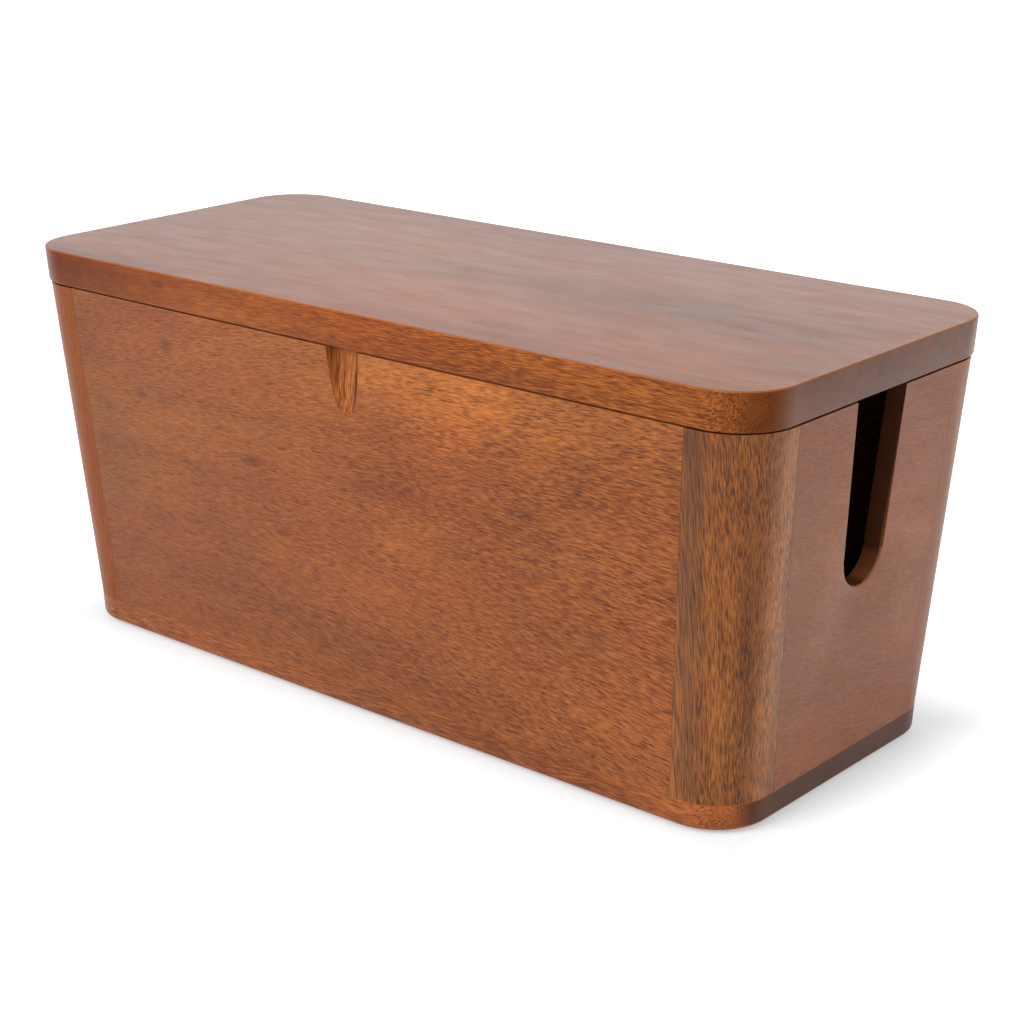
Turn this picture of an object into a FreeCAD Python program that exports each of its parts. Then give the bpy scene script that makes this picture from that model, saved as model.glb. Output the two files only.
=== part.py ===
"""Lidded wooden cable management box: tapered walls of panels and corner posts on a base board.

Millimetres, +Z up. The origin is on the floor, under the middle of the box. X runs along the length,
and the front, with the thumb scoop, faces -Y.
"""
import FreeCAD, Part
import Sketcher
import math
import os

SIZES = {
    # Lid
    "lid_length": 400,
    "lid_width": 170,
    "lid_thickness": 15.5,
    "lid_corner_radius": 25,
    "lid_undercut": 1,
    "lid_top_edge_radius": 0.6,
    "lid_lower_chamfer": 0.8,
    # Walls and base
    "shadow_reveal": 0.4,
    "wall_height": 150,
    "wall_thickness": 8,
    "end_lean": 11.3,
    "side_lean": 8.6,
    "base_thickness": 11,
    "base_undercut": 0.6,
    "base_edge_radius": 2,
    # Corner posts
    "post_corner_radius": 24.5,
    "post_top_width": 30,
    "post_foot_width": 28,
    "post_end_width": 28.5,
    # Splines in the seams
    "spline_thickness": 3,
    "spline_width": 12,
    "spline_stop": 10,
    "spline_end_room": 0.5,
    "glue_gap": 0.1,
    # Cable slots
    "slot_mouth_width": 34,
    "slot_radius": 13,
    "slot_depth": 78,
    "slot_edge_radius": 1,
    # Thumb scoop
    "scoop_radius": 10,
    "scoop_height": 28.5,
    "scoop_depth": 5.6,
    # Wood screws up through the base board into the posts
    "screw_length": 25,
    "screw_inset": 12,
    "screw_diameter": 3,
    "screw_head_diameter": 6,
    "screw_head_rim": 0.3,
    "screw_head_sink": 0.4,
    "screw_point_length": 3,
    "screw_clearance": 0.05,
    "screw_tip_room": 1,
    "recess_span": 3.4,
    "recess_width": 0.9,
    "recess_depth": 1.2,
    # Dowels between the base board and the panels
    "dowel_diameter": 4,
    "dowel_floor": 2,
    "dowel_side_clearance": 0.05,
    "dowel_end_room": 0.5,
    "dowel_place_share": 0.55,
    # Lid rails
    "rail_width": 12,
    "rail_height": 8,
    "rail_chamfer": 1.5,
    "rail_side_clearance": 1,
    "rail_end_clearance": 1,
    # Foot pads
    "pad_height": 1.5,
    "pad_diameter": 14,
    "pad_inset": 30,
    # Overrun of every cut past the face it starts from
    "cut_overrun": 5,
}

# Heights of the main faces, each a formula of the sizes
BASE_BOTTOM = "sizes.pad_height"
BASE_TOP = f"({BASE_BOTTOM} + sizes.base_thickness)"
WALL_TOP = f"({BASE_TOP} + sizes.wall_height)"
LID_TOP = f"({WALL_TOP} + sizes.lid_thickness)"

# The lid's lower outline, and the walls' outline at their top and at their foot
LID_LOWER_LENGTH = "(sizes.lid_length - 2 * sizes.lid_undercut)"
LID_LOWER_WIDTH = "(sizes.lid_width - 2 * sizes.lid_undercut)"
LID_LOWER_RADIUS = "(sizes.lid_corner_radius - sizes.lid_undercut)"
BODY_LENGTH = f"({LID_LOWER_LENGTH} - 2 * sizes.shadow_reveal)"
BODY_WIDTH = f"({LID_LOWER_WIDTH} - 2 * sizes.shadow_reveal)"
FOOT_LENGTH = f"({BODY_LENGTH} - 2 * sizes.end_lean)"
FOOT_WIDTH = f"({BODY_WIDTH} - 2 * sizes.side_lean)"

# Farther than any piece of the box reaches from its middle
REACH = "sizes.lid_length"

# Holes for the dowels and the screws
DOWEL_HALF_LENGTH = "(sizes.base_thickness - sizes.dowel_floor)"
DOWEL_HOLE_RADIUS = "(sizes.dowel_diameter / 2 + sizes.dowel_side_clearance)"
DOWEL_HOLE_DEPTH = f"({DOWEL_HALF_LENGTH} + sizes.dowel_end_room)"
SCREW_HOLE_RADIUS = "(sizes.screw_diameter / 2 + sizes.screw_clearance)"
COUNTERSINK = (
    f"(sizes.screw_head_diameter / 2 - {SCREW_HOLE_RADIUS} + sizes.screw_head_rim"
    " + sizes.screw_head_sink + 2 * sizes.screw_clearance)"
)

SIDES = {"left": -1, "right": 1}
FACES = {"front": -1, "back": 1}

document = FreeCAD.newDocument("cable_box")


def make_sheet():
    """The driving sizes, each under its own name."""
    sheet = document.addObject("Spreadsheet::Sheet", "sizes")
    for row, (name, value) in enumerate(SIZES.items(), start=1):
        sheet.set(f"A{row}", name.replace("_", " "))
        sheet.set(f"B{row}", str(value))
        sheet.setAlias(f"B{row}", name)
    document.recompute()
    return sheet


# Outline of the tapered walls at any height

def between(foot, top, height):
    """A size of the walls at a height: it runs straight from their foot to their top."""
    risen = f"({height} - {BASE_TOP}) / sizes.wall_height"
    return f"({foot} + ({top} - {foot}) * {risen})"


def body_half_length(height):
    return f"({between(FOOT_LENGTH, BODY_LENGTH, height)} / 2)"


def body_half_width(height):
    return f"({between(FOOT_WIDTH, BODY_WIDTH, height)} / 2)"


def inner_half_length(height):
    return f"({body_half_length(height)} - sizes.wall_thickness)"


def inner_half_width(height):
    return f"({body_half_width(height)} - sizes.wall_thickness)"


def long_seam(height):
    """X of the seam between a long panel and its post."""
    width = between("sizes.post_foot_width", "sizes.post_top_width", height)
    return f"({body_half_length(height)} - {width})"


def end_seam(height):
    """Y of the seam between an end panel and its post."""
    return f"({body_half_width(height)} - sizes.post_end_width)"


# Sketches and features

def new_body(name):
    body = document.addObject("PartDesign::Body", name)
    body.Label = name
    return body


def origin_feature(body, role):
    return next(feature for feature in body.Origin.OriginFeatures if feature.Role == role)


def new_sketch(body, name, offset="0", plane="XY_Plane"):
    """A sketch parallel to one of the body's own origin planes, moved along that plane's normal."""
    sketch = body.newObject("Sketcher::SketchObject", name)
    sketch.AttachmentSupport = [(origin_feature(body, plane), "")]
    sketch.MapMode = "FlatFace"
    sketch.setExpression("AttachmentOffset.Base.z", offset)
    return sketch


def bind(sketch, constraint, formula):
    index = sketch.addConstraint(constraint)
    sketch.setExpression(f"Constraints[{index}]", formula)


def place_point(sketch, geometry, end, x, y):
    """Holds one end of a line, or a centre, at its place from the sketch's origin."""
    value = sketch.evalExpression
    bind(sketch, Sketcher.Constraint("DistanceX", -1, 1, geometry, end, value(x)), x)
    bind(sketch, Sketcher.Constraint("DistanceY", -1, 1, geometry, end, value(y)), y)


def draw_outline(sketch, corners):
    """A closed outline, counter-clockwise. A corner is (x, y), or (x, y, radius) where it is rounded."""
    value = sketch.evalExpression
    points = [FreeCAD.Vector(value(corner[0]), value(corner[1]), 0) for corner in corners]
    ends = []
    arcs = {}
    for index, corner in enumerate(corners):
        point = points[index]
        if len(corner) == 2:
            ends.append((point, point))
            continue
        radius = value(corner[2])
        back = (points[index - 1] - point).normalize()
        ahead = (points[(index + 1) % len(points)] - point).normalize()
        half_angle = back.getAngle(ahead) / 2
        run = radius / math.tan(half_angle)
        centre = point + (back + ahead).normalize() * (radius / math.sin(half_angle))
        arcs[index] = (centre, radius)
        ends.append((point + back * run, point + ahead * run))

    lines = []
    for index in range(len(corners)):
        start = ends[index][1]
        finish = ends[(index + 1) % len(corners)][0]
        lines.append(sketch.addGeometry(Part.LineSegment(start, finish), False))
    for index, corner in enumerate(corners):
        before = lines[index - 1]
        after = lines[index]
        if index not in arcs:
            sketch.addConstraint(Sketcher.Constraint("Coincident", before, 2, after, 1))
            place_point(sketch, after, 1, corner[0], corner[1])
            continue
        centre, radius = arcs[index]
        start, finish = ends[index]
        circle = Part.Circle(centre, FreeCAD.Vector(0, 0, 1), radius)
        turn = Part.ArcOfCircle(circle, circle.parameter(start), circle.parameter(finish))
        arc = sketch.addGeometry(turn, False)
        sketch.addConstraint(Sketcher.Constraint("Tangent", before, 2, arc, 1))
        sketch.addConstraint(Sketcher.Constraint("Tangent", arc, 2, after, 1))
        bind(sketch, Sketcher.Constraint("Radius", arc, radius), corner[2])
        corner_point = sketch.addGeometry(Part.Point(points[index]), True)
        place_point(sketch, corner_point, 1, corner[0], corner[1])
        sketch.addConstraint(Sketcher.Constraint("PointOnObject", corner_point, 1, before))
        sketch.addConstraint(Sketcher.Constraint("PointOnObject", corner_point, 1, after))


def draw_circle(sketch, x, y, radius):
    value = sketch.evalExpression
    centre = FreeCAD.Vector(value(x), value(y), 0)
    circle = Part.Circle(centre, FreeCAD.Vector(0, 0, 1), value(radius))
    geometry = sketch.addGeometry(circle, False)
    place_point(sketch, geometry, 3, x, y)
    bind(sketch, Sketcher.Constraint("Radius", geometry, value(radius)), radius)


def rounded_rectangle(half_length, half_width, radius):
    quarter = [(half_length, half_width, radius)]
    turns = ((-1, -1), (1, -1), (1, 1), (-1, 1))
    return [mirrored(quarter, side_x, side_y)[0] for side_x, side_y in turns]


def rectangle(x_low, x_high, y_low, y_high):
    return [(x_low, y_low), (x_high, y_low), (x_high, y_high), (x_low, y_high)]


def mirrored(corners, side_x, side_y):
    """The outline flipped to another corner of the box, still counter-clockwise."""
    flipped = [(f"{side_x} * ({x})", f"{side_y} * ({y})", *radius) for x, y, *radius in corners]
    return flipped if side_x * side_y > 0 else flipped[::-1]


def loft(body, kind, name, sections):
    """Straight-sided loft through (height, outline) pairs, from the upper one down."""
    sketches = []
    for number, (height, corners) in enumerate(sections):
        sketch = new_sketch(body, f"{name}_section_{number}", height)
        draw_outline(sketch, corners)
        sketches.append(sketch)
    return join_sections(body, kind, name, sketches)


def join_sections(body, kind, name, sketches):
    document.recompute()
    feature = body.newObject(kind, name)
    feature.Profile = sketches[0]
    feature.Sections = sketches[1:]
    feature.Ruled = True
    document.recompute()
    return feature


def pad(body, sketch, length):
    """Raises the sketch along its normal."""
    document.recompute()
    feature = body.newObject("PartDesign::Pad", f"{sketch.Name}_pad")
    feature.Profile = sketch
    feature.setExpression("Length", length)
    document.recompute()
    return feature


def pocket(body, sketch, length, reverse=False):
    """Cuts the sketch into the body, against its normal or along it, and makes sure that it cuts."""
    document.recompute()
    volume_before = body.Shape.Volume
    feature = body.newObject("PartDesign::Pocket", f"{sketch.Name}_pocket")
    feature.Profile = sketch
    feature.Reversed = reverse
    feature.setExpression("Length", length)
    document.recompute()
    require_cut(body, volume_before)
    return feature


def require_cut(body, volume_before):
    if not 0 < body.Shape.Volume < volume_before:
        raise RuntimeError(f"the last cut in {body.Name} takes nothing away, or everything")


def edges_where(shape, wanted):
    return [f"Edge{number}" for number, edge in enumerate(shape.Edges, start=1) if wanted(edge)]


def at_height(height):
    """True for an edge that lies flat at that height."""
    def wanted(edge):
        box = edge.BoundBox
        near = box.DiagonalLength / 1000
        return abs(box.ZMin - height) < near and box.ZLength < near
    return wanted


def finish_edges(body, kind, size_property, base, edges, size):
    """A fillet or chamfer on the named edges of a feature."""
    if not edges:
        raise RuntimeError(f"no edges to finish on {base.Name}")
    feature = body.newObject(kind, f"{base.Name}_{size_property.lower()}")
    feature.Base = (base, edges)
    feature.setExpression(size_property, size)
    document.recompute()
    return feature


def fillet(body, base, edges, radius):
    return finish_edges(body, "PartDesign::Fillet", "Radius", base, edges, radius)


def chamfer(body, base, edges, size):
    return finish_edges(body, "PartDesign::Chamfer", "Size", base, edges, size)


def drill(body, name, places, radius, height, depth, upwards):
    """Round holes at (x, y) places that start at a height and go straight up or down."""
    sketch = new_sketch(body, name, height)
    for x, y in places:
        draw_circle(sketch, x, y, radius)
    return pocket(body, sketch, depth, reverse=upwards)


def countersink(body, holes, height):
    """Widens the mouths of the holes at that height for the screw heads."""
    flat = at_height(body.evalExpression(height))
    mouth_radius = body.evalExpression(SCREW_HOLE_RADIUS)

    def mouth(edge):
        round_edge = isinstance(edge.Curve, Part.Circle)
        return round_edge and flat(edge) and edge.Curve.Radius < mouth_radius * 2
    chamfer(body, holes, edges_where(holes.Shape, mouth), COUNTERSINK)


# Splines and the grooves that hold them, one across each seam between a panel and a post

SPLINE_TOP = f"({WALL_TOP} - sizes.spline_stop)"
SPLINE_HALVES = ("(sizes.spline_width / 2)", "(sizes.spline_thickness / 2)")
GROOVE_HALVES = (
    "(sizes.spline_width / 2 + sizes.spline_end_room)",
    "(sizes.spline_thickness / 2 + sizes.glue_gap)",
)


def long_joint(height, halves):
    """Outline about a long wall's seam, given half its size along and across the wall."""
    along, across = halves
    seam = long_seam(height)
    middle = f"({body_half_width(height)} - sizes.wall_thickness / 2)"
    low_y, high_y = f"{middle} - {across}", f"{middle} + {across}"
    return rectangle(f"{seam} - {along}", f"{seam} + {along}", low_y, high_y)


def end_joint(height, halves):
    """The same about an end wall's seam."""
    along, across = halves
    seam = end_seam(height)
    middle = f"({body_half_length(height)} - sizes.wall_thickness / 2)"
    low_x, high_x = f"{middle} - {across}", f"{middle} + {across}"
    return rectangle(low_x, high_x, f"{seam} - {along}", f"{seam} + {along}")


JOINTS = {"long": long_joint, "end": end_joint}


def cut_groove(body, wall, side, face):
    """The groove of one seam. Panel and post are cut alike, each where it lies in the groove."""
    below = f"({BASE_TOP} - sizes.cut_overrun)"
    outlines = {height: JOINTS[wall](height, GROOVE_HALVES) for height in (SPLINE_TOP, below)}
    sections = [(height, mirrored(outline, side, face)) for height, outline in outlines.items()]
    volume_before = body.Shape.Volume
    loft(body, "PartDesign::SubtractiveLoft", f"{body.Name}_{wall}_groove", sections)
    require_cut(body, volume_before)


def make_spline(name, wall, side, face):
    """A thin tongue in the groove, from the base up to just under the wall's top edge."""
    body = new_body(name)
    outlines = {height: JOINTS[wall](height, SPLINE_HALVES) for height in (SPLINE_TOP, BASE_TOP)}
    sections = [(height, mirrored(outline, side, face)) for height, outline in outlines.items()]
    loft(body, "PartDesign::AdditiveLoft", f"{name}_strip", sections)
    return body


# Places of the screws and dowels

def screw_place(side, face):
    x = f"{side} * ({FOOT_LENGTH} / 2 - sizes.screw_inset)"
    y = f"{face} * ({FOOT_WIDTH} / 2 - sizes.screw_inset)"
    return x, y


def all_screw_places():
    return [screw_place(side, face) for side in SIDES.values() for face in FACES.values()]


def long_dowel_places(face):
    middle = f"{face} * ({body_half_width(BASE_TOP)} - sizes.wall_thickness / 2)"
    along = f"{long_seam(BASE_TOP)} * sizes.dowel_place_share"
    return [(f"{side} * {along}", middle) for side in SIDES.values()]


def end_dowel_places(side):
    middle = f"{side} * ({body_half_length(BASE_TOP)} - sizes.wall_thickness / 2)"
    along = f"{end_seam(BASE_TOP)} * sizes.dowel_place_share"
    return [(middle, f"{face} * {along}") for face in FACES.values()]


def all_dowel_places():
    long_places = [place for face in FACES.values() for place in long_dowel_places(face)]
    end_places = [place for side in SIDES.values() for place in end_dowel_places(side)]
    return long_places + end_places


# Lid

def make_lid_board():
    body = new_body("lid_board")
    upper = ("(sizes.lid_length / 2)", "(sizes.lid_width / 2)", "sizes.lid_corner_radius")
    lower = (f"({LID_LOWER_LENGTH} / 2)", f"({LID_LOWER_WIDTH} / 2)", LID_LOWER_RADIUS)
    sections = [(LID_TOP, rounded_rectangle(*upper)), (WALL_TOP, rounded_rectangle(*lower))]
    slab = loft(body, "PartDesign::AdditiveLoft", "lid_slab", sections)
    top_edges = edges_where(slab.Shape, at_height(body.evalExpression(LID_TOP)))
    eased_top = fillet(body, slab, top_edges, "sizes.lid_top_edge_radius")
    lower_edges = edges_where(eased_top.Shape, at_height(body.evalExpression(WALL_TOP)))
    chamfer(body, eased_top, lower_edges, "sizes.lid_lower_chamfer")
    return body


def make_lid_rail(name, face):
    """A strip under the lid, just inside a long wall, with its lower outer edge bevelled to lead in."""
    body = new_body(f"lid_rail_{name}")
    half_length = f"({long_seam(WALL_TOP)} - sizes.rail_end_clearance)"
    sketch = new_sketch(body, f"rail_{name}_section", f"-{half_length}", "YZ_Plane")
    outer = f"({inner_half_width(WALL_TOP)} - sizes.rail_side_clearance)"
    inner = f"({outer} - sizes.rail_width)"
    low = f"({WALL_TOP} - sizes.rail_height)"
    corners = [
        (inner, low),
        (f"({outer} - sizes.rail_chamfer)", low),
        (outer, f"({low} + sizes.rail_chamfer)"),
        (outer, WALL_TOP),
        (inner, WALL_TOP),
    ]
    draw_outline(sketch, mirrored(corners, face, 1))
    pad(body, sketch, f"2 * {half_length}")
    return body


def drill_dowel_holes(body, places, upwards):
    """Blind holes for half a dowel, from the face where a panel meets the base board."""
    name = f"{body.Name}_dowel_holes"
    drill(body, name, places, DOWEL_HOLE_RADIUS, BASE_TOP, DOWEL_HOLE_DEPTH, upwards)


# Walls

def leaning_outline(inner, outer, low, high):
    """Corners of an upright section whose two sides each follow a formula of the height."""
    return [(inner(low), low), (outer(low), low), (outer(high), high), (inner(high), high)]


def wall_board(body, plane, inner, outer, side):
    """A board right across the box: an upright section, from the base to the top of the walls."""
    sketch = new_sketch(body, f"{body.Name}_section", f"-{REACH}", plane)
    draw_outline(sketch, mirrored(leaning_outline(inner, outer, BASE_TOP, WALL_TOP), side, 1))
    pad(body, sketch, f"2 * {REACH}")


def trim(body, name, plane, line, limit, side):
    """Takes off all that lies between a leaning line and a limit, right across the box."""
    low = f"({BASE_TOP} - sizes.cut_overrun)"
    high = f"({WALL_TOP} + sizes.cut_overrun)"
    sketch = new_sketch(body, f"{body.Name}_{name}", f"-{REACH}", plane)
    draw_outline(sketch, mirrored(leaning_outline(line, lambda height: limit, low, high), side, 1))
    pocket(body, sketch, f"2 * {REACH}", reverse=True)


def make_long_panel(name, face):
    body = new_body(f"{name}_panel")
    wall_board(body, "YZ_Plane", inner_half_width, body_half_width, face)
    for side_name, side in SIDES.items():
        trim(body, f"{side_name}_seam", "XZ_Plane", long_seam, f"2 * {REACH}", side)
    for side in SIDES.values():
        cut_groove(body, "long", side, face)
    drill_dowel_holes(body, long_dowel_places(face), upwards=True)
    if name == "front":
        cut_thumb_scoop(body)
    return body


def cut_thumb_scoop(body):
    """A round flute in the front face that starts at nothing and is deepest at the top edge."""
    bottom = f"({WALL_TOP} - sizes.scoop_height)"
    above = f"({WALL_TOP} + sizes.cut_overrun)"
    sketches = []
    for height in (above, bottom):
        depth = f"({height} - {bottom}) * sizes.scoop_depth / sizes.scoop_height"
        centre = f"-({body_half_width(height)} - {depth} + sizes.scoop_radius)"
        sketch = new_sketch(body, f"scoop_section_{len(sketches)}", height)
        draw_circle(sketch, "0", centre, "sizes.scoop_radius")
        sketches.append(sketch)
    volume_before = body.Shape.Volume
    join_sections(body, "PartDesign::SubtractiveLoft", "thumb_scoop", sketches)
    require_cut(body, volume_before)


def make_end_panel(name, side):
    body = new_body(f"{name}_end_panel")
    wall_board(body, "XZ_Plane", inner_half_length, body_half_length, side)
    for face_name, face in FACES.items():
        trim(body, f"{face_name}_seam", "YZ_Plane", end_seam, f"2 * {REACH}", face)
    for face in FACES.values():
        cut_groove(body, "end", side, face)
    drill_dowel_holes(body, end_dowel_places(side), upwards=True)
    cut_cable_slot(body, side)
    return body


def draw_slot(sketch):
    """The slot's outline: sides that draw together downwards and run smoothly into a round bottom."""
    value = sketch.evalExpression
    half_mouth = "sizes.slot_mouth_width / 2"
    above = f"({WALL_TOP} + sizes.cut_overrun)"
    centre_height = f"({WALL_TOP} - sizes.slot_depth + sizes.slot_radius)"
    radius = value("sizes.slot_radius")
    centre = FreeCAD.Vector(0, value(centre_height), 0)
    top_left = FreeCAD.Vector(-value(half_mouth), value(WALL_TOP), 0)
    top_right = FreeCAD.Vector(value(half_mouth), value(WALL_TOP), 0)
    lift = FreeCAD.Vector(0, value("sizes.cut_overrun"), 0)
    reach = FreeCAD.Vector(radius, 0, 0)

    def line(start, finish):
        return sketch.addGeometry(Part.LineSegment(start, finish), False)
    circle = Part.Circle(centre, FreeCAD.Vector(0, 0, 1), radius)
    left = line(top_left, centre - reach)
    bottom = sketch.addGeometry(Part.ArcOfCircle(circle, math.pi, 2 * math.pi), False)
    right = line(centre + reach, top_right)
    rise = line(top_right, top_right + lift)
    across = line(top_right + lift, top_left + lift)
    fall = line(top_left + lift, top_left)
    sketch.addConstraint(Sketcher.Constraint("Tangent", left, 2, bottom, 1))
    sketch.addConstraint(Sketcher.Constraint("Tangent", bottom, 2, right, 1))
    for before, after in ((right, rise), (rise, across), (across, fall), (fall, left)):
        sketch.addConstraint(Sketcher.Constraint("Coincident", before, 2, after, 1))
    place_point(sketch, bottom, 3, "0", centre_height)
    bind(sketch, Sketcher.Constraint("Radius", bottom, radius), "sizes.slot_radius")
    place_point(sketch, left, 1, f"-{half_mouth}", WALL_TOP)
    place_point(sketch, rise, 1, half_mouth, WALL_TOP)
    place_point(sketch, across, 1, half_mouth, above)
    place_point(sketch, fall, 1, f"-{half_mouth}", above)


def cut_cable_slot(body, side):
    """The slot through an end wall, with its outer rim eased for the cables."""
    outside = f"{side} * ({BODY_LENGTH} / 2 + sizes.cut_overrun)"
    sketch = new_sketch(body, f"{body.Name}_slot", outside, "YZ_Plane")
    draw_slot(sketch)
    depth = "sizes.wall_thickness + sizes.end_lean + 2 * sizes.cut_overrun"
    slot = pocket(body, sketch, depth, reverse=side < 0)

    value = body.evalExpression
    foot = FreeCAD.Vector(value(f"{side} * {body_half_length(BASE_TOP)}"), 0, value(BASE_TOP))
    top = FreeCAD.Vector(value(f"{side} * {body_half_length(WALL_TOP)}"), 0, value(WALL_TOP))
    outer_face = Part.Plane(foot, top, top + FreeCAD.Vector(0, value("sizes.slot_radius"), 0)).toShape()
    widest = value("sizes.slot_mouth_width / 2")
    lowest = value(f"{WALL_TOP} - sizes.slot_depth")
    near = value("sizes.wall_thickness") / 1000

    def rim(edge):
        middle = edge.valueAt((edge.FirstParameter + edge.LastParameter) / 2)
        in_slot = abs(middle.y) < widest + near and lowest - near < middle.z < top.z - near
        return in_slot and outer_face.distToShape(Part.Vertex(middle))[0] < near
    fillet(body, slot, edges_where(slot.Shape, rim), "sizes.slot_edge_radius")


def flat_outline(height):
    """What lies inside the flat across a post, from the inner face of one wall to that of the other."""
    near_x = inner_half_length(height)
    near_y = inner_half_width(height)
    far_x = f"({body_half_length(height)} - sizes.post_top_width)"
    far_y = f"({body_half_width(height)} - sizes.post_end_width)"
    past_x = f"({far_x} - sizes.cut_overrun)"
    past_y = f"({far_y} - sizes.cut_overrun)"
    return [(near_x, far_y), (far_x, near_y), (past_x, near_y), (past_x, past_y), (near_x, past_y)]


def make_post(name, side, face):
    """A solid corner post: a quarter round outside and one flat across the corner inside."""
    body = new_body(name)
    wall_board(body, "XZ_Plane", long_seam, body_half_length, side)
    trim(body, "face", "YZ_Plane", body_half_width, f"2 * {REACH}", face)
    trim(body, "seam", "YZ_Plane", end_seam, f"-2 * {REACH}", face)
    ends = (f"({WALL_TOP} + sizes.cut_overrun)", f"({BASE_TOP} - sizes.cut_overrun)")
    sections = [(height, mirrored(flat_outline(height), side, face)) for height in ends]
    loft(body, "PartDesign::SubtractiveLoft", f"{name}_flat", sections)
    value = body.evalExpression
    corner = Part.Vertex(
        value(f"{side} * {body_half_length(WALL_TOP)}"),
        value(f"{face} * {body_half_width(WALL_TOP)}"),
        value(WALL_TOP),
    )
    height = value("sizes.wall_height")

    def outer(edge):
        upright = edge.BoundBox.ZLength > height / 2
        return upright and edge.distToShape(corner)[0] < height / 1000
    fillet(body, body.Tip, edges_where(body.Shape, outer), "sizes.post_corner_radius")
    for wall in JOINTS:
        cut_groove(body, wall, side, face)
    in_base = "(sizes.base_thickness - sizes.screw_head_sink)"
    depth = f"sizes.screw_length - {in_base} + sizes.screw_tip_room"
    places = [screw_place(side, face)]
    drill(body, f"{name}_pilot_hole", places, SCREW_HOLE_RADIUS, BASE_TOP, depth, upwards=True)
    return body


# Base

def make_base_board():
    """The board under the walls: its edge leans in as they do and is rounded at the bottom."""
    body = new_body("base_board")
    upper = (f"{FOOT_LENGTH} / 2", f"{FOOT_WIDTH} / 2", "sizes.post_corner_radius")
    lower = [f"{size} - sizes.base_undercut" for size in upper]
    sections = [(BASE_TOP, rounded_rectangle(*upper)), (BASE_BOTTOM, rounded_rectangle(*lower))]
    board = loft(body, "PartDesign::AdditiveLoft", "base_slab", sections)
    lower_edges = edges_where(board.Shape, at_height(body.evalExpression(BASE_BOTTOM)))
    fillet(body, board, lower_edges, "sizes.base_edge_radius")
    depth = "sizes.base_thickness + sizes.cut_overrun"
    places = all_screw_places()
    holes = drill(body, "base_holes", places, SCREW_HOLE_RADIUS, BASE_TOP, depth, upwards=False)
    countersink(body, holes, BASE_BOTTOM)
    drill_dowel_holes(body, all_dowel_places(), upwards=False)
    return body


def make_foot_pad(name, side, face):
    """A round stick-on pad."""
    body = new_body(name)
    sketch = new_sketch(body, f"{name}_outline")
    x = f"{side} * ({FOOT_LENGTH} / 2 - sizes.pad_inset)"
    y = f"{face} * ({FOOT_WIDTH} / 2 - sizes.pad_inset)"
    draw_circle(sketch, x, y, "sizes.pad_diameter / 2")
    pad(body, sketch, "sizes.pad_height")
    return body


# Dowels and screws

def make_dowel(name, x, y):
    """A plain dowel, half in the base board and half in a panel."""
    body = new_body(name)
    sketch = new_sketch(body, f"{name}_outline", f"-{DOWEL_HALF_LENGTH}")
    draw_circle(sketch, "0", "0", "sizes.dowel_diameter / 2")
    pad(body, sketch, f"2 * {DOWEL_HALF_LENGTH}")
    move_to(body, x, y, BASE_TOP)
    return body


def move_to(body, x, y, z):
    for axis, place in (("x", x), ("y", y), ("z", z)):
        body.setExpression(f"Placement.Base.{axis}", place)


def make_screw(name, x, y):
    """A countersunk wood screw that points up, with a cross recess in its head."""
    body = new_body(name)
    head = "sizes.screw_head_diameter / 2"
    shank = "sizes.screw_diameter / 2"
    profile = new_sketch(body, f"{name}_profile", plane="XZ_Plane")
    draw_outline(profile, [
        ("0", "0"),
        (head, "0"),
        (head, "sizes.screw_head_rim"),
        (shank, f"sizes.screw_head_rim + {head} - {shank}"),
        (shank, "sizes.screw_length - sizes.screw_point_length"),
        ("0", "sizes.screw_length"),
    ])
    document.recompute()
    turned = body.newObject("PartDesign::Revolution", f"{name}_turned")
    turned.Profile = profile
    turned.ReferenceAxis = (origin_feature(body, "Z_Axis"), [""])
    document.recompute()
    long_half = "sizes.recess_span / 2"
    thin_half = "sizes.recess_width / 2"
    arm = [(thin_half, f"-{long_half}"), (thin_half, f"-{thin_half}"), (long_half, f"-{thin_half}")]
    arms = arm + [(x_, f"-({y_})") for x_, y_ in reversed(arm)]
    cross = arms + [(f"-({x_})", y_) for x_, y_ in reversed(arms)]
    recess = new_sketch(body, f"{name}_recess")
    draw_outline(recess, cross)
    pocket(body, recess, "sizes.recess_depth", reverse=True)
    move_to(body, x, y, f"{BASE_BOTTOM} + sizes.screw_head_sink")
    return body


def group_of(name, pieces):
    """Like pieces as one node: a group of separate solids."""
    group = document.addObject("Part::Compound", name)
    group.Label = name
    group.Links = pieces
    document.recompute()
    return group


def make_base_dowels():
    dowels = []
    for number, (x, y) in enumerate(all_dowel_places(), start=1):
        dowels.append(make_dowel(f"base_dowel_{number}", x, y))
    return group_of("base_dowels", dowels)


def make_base_screws():
    screws = []
    for number, (x, y) in enumerate(all_screw_places(), start=1):
        screws.append(make_screw(f"base_screw_{number}", x, y))
    return group_of("base_screws", screws)


# The whole box

def make_parts():
    parts = [make_lid_board()]
    for face_name, face in FACES.items():
        parts.append(make_lid_rail(face_name, face))
        parts.append(make_long_panel(face_name, face))
    for side_name, side in SIDES.items():
        parts.append(make_end_panel(side_name, side))
    for side_name, side in SIDES.items():
        for face_name, face in FACES.items():
            parts.append(make_post(f"post_{face_name}_{side_name}", side, face))
            parts.append(make_spline(f"spline_{face_name}_wall_{side_name}", "long", side, face))
            parts.append(make_spline(f"spline_{side_name}_end_{face_name}", "end", side, face))
            parts.append(make_foot_pad(f"foot_pad_{face_name}_{side_name}", side, face))
    parts.append(make_base_board())
    return parts + [make_base_dowels(), make_base_screws()]


def check(parts):
    for item in document.Objects:
        if "Invalid" in item.State or "Error" in item.State:
            raise RuntimeError(f"{item.Name} is {item.State}")
    for part in parts:
        if part.Shape.isNull() or not part.Shape.isValid():
            raise RuntimeError(f"{part.Label} has no valid shape")


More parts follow.
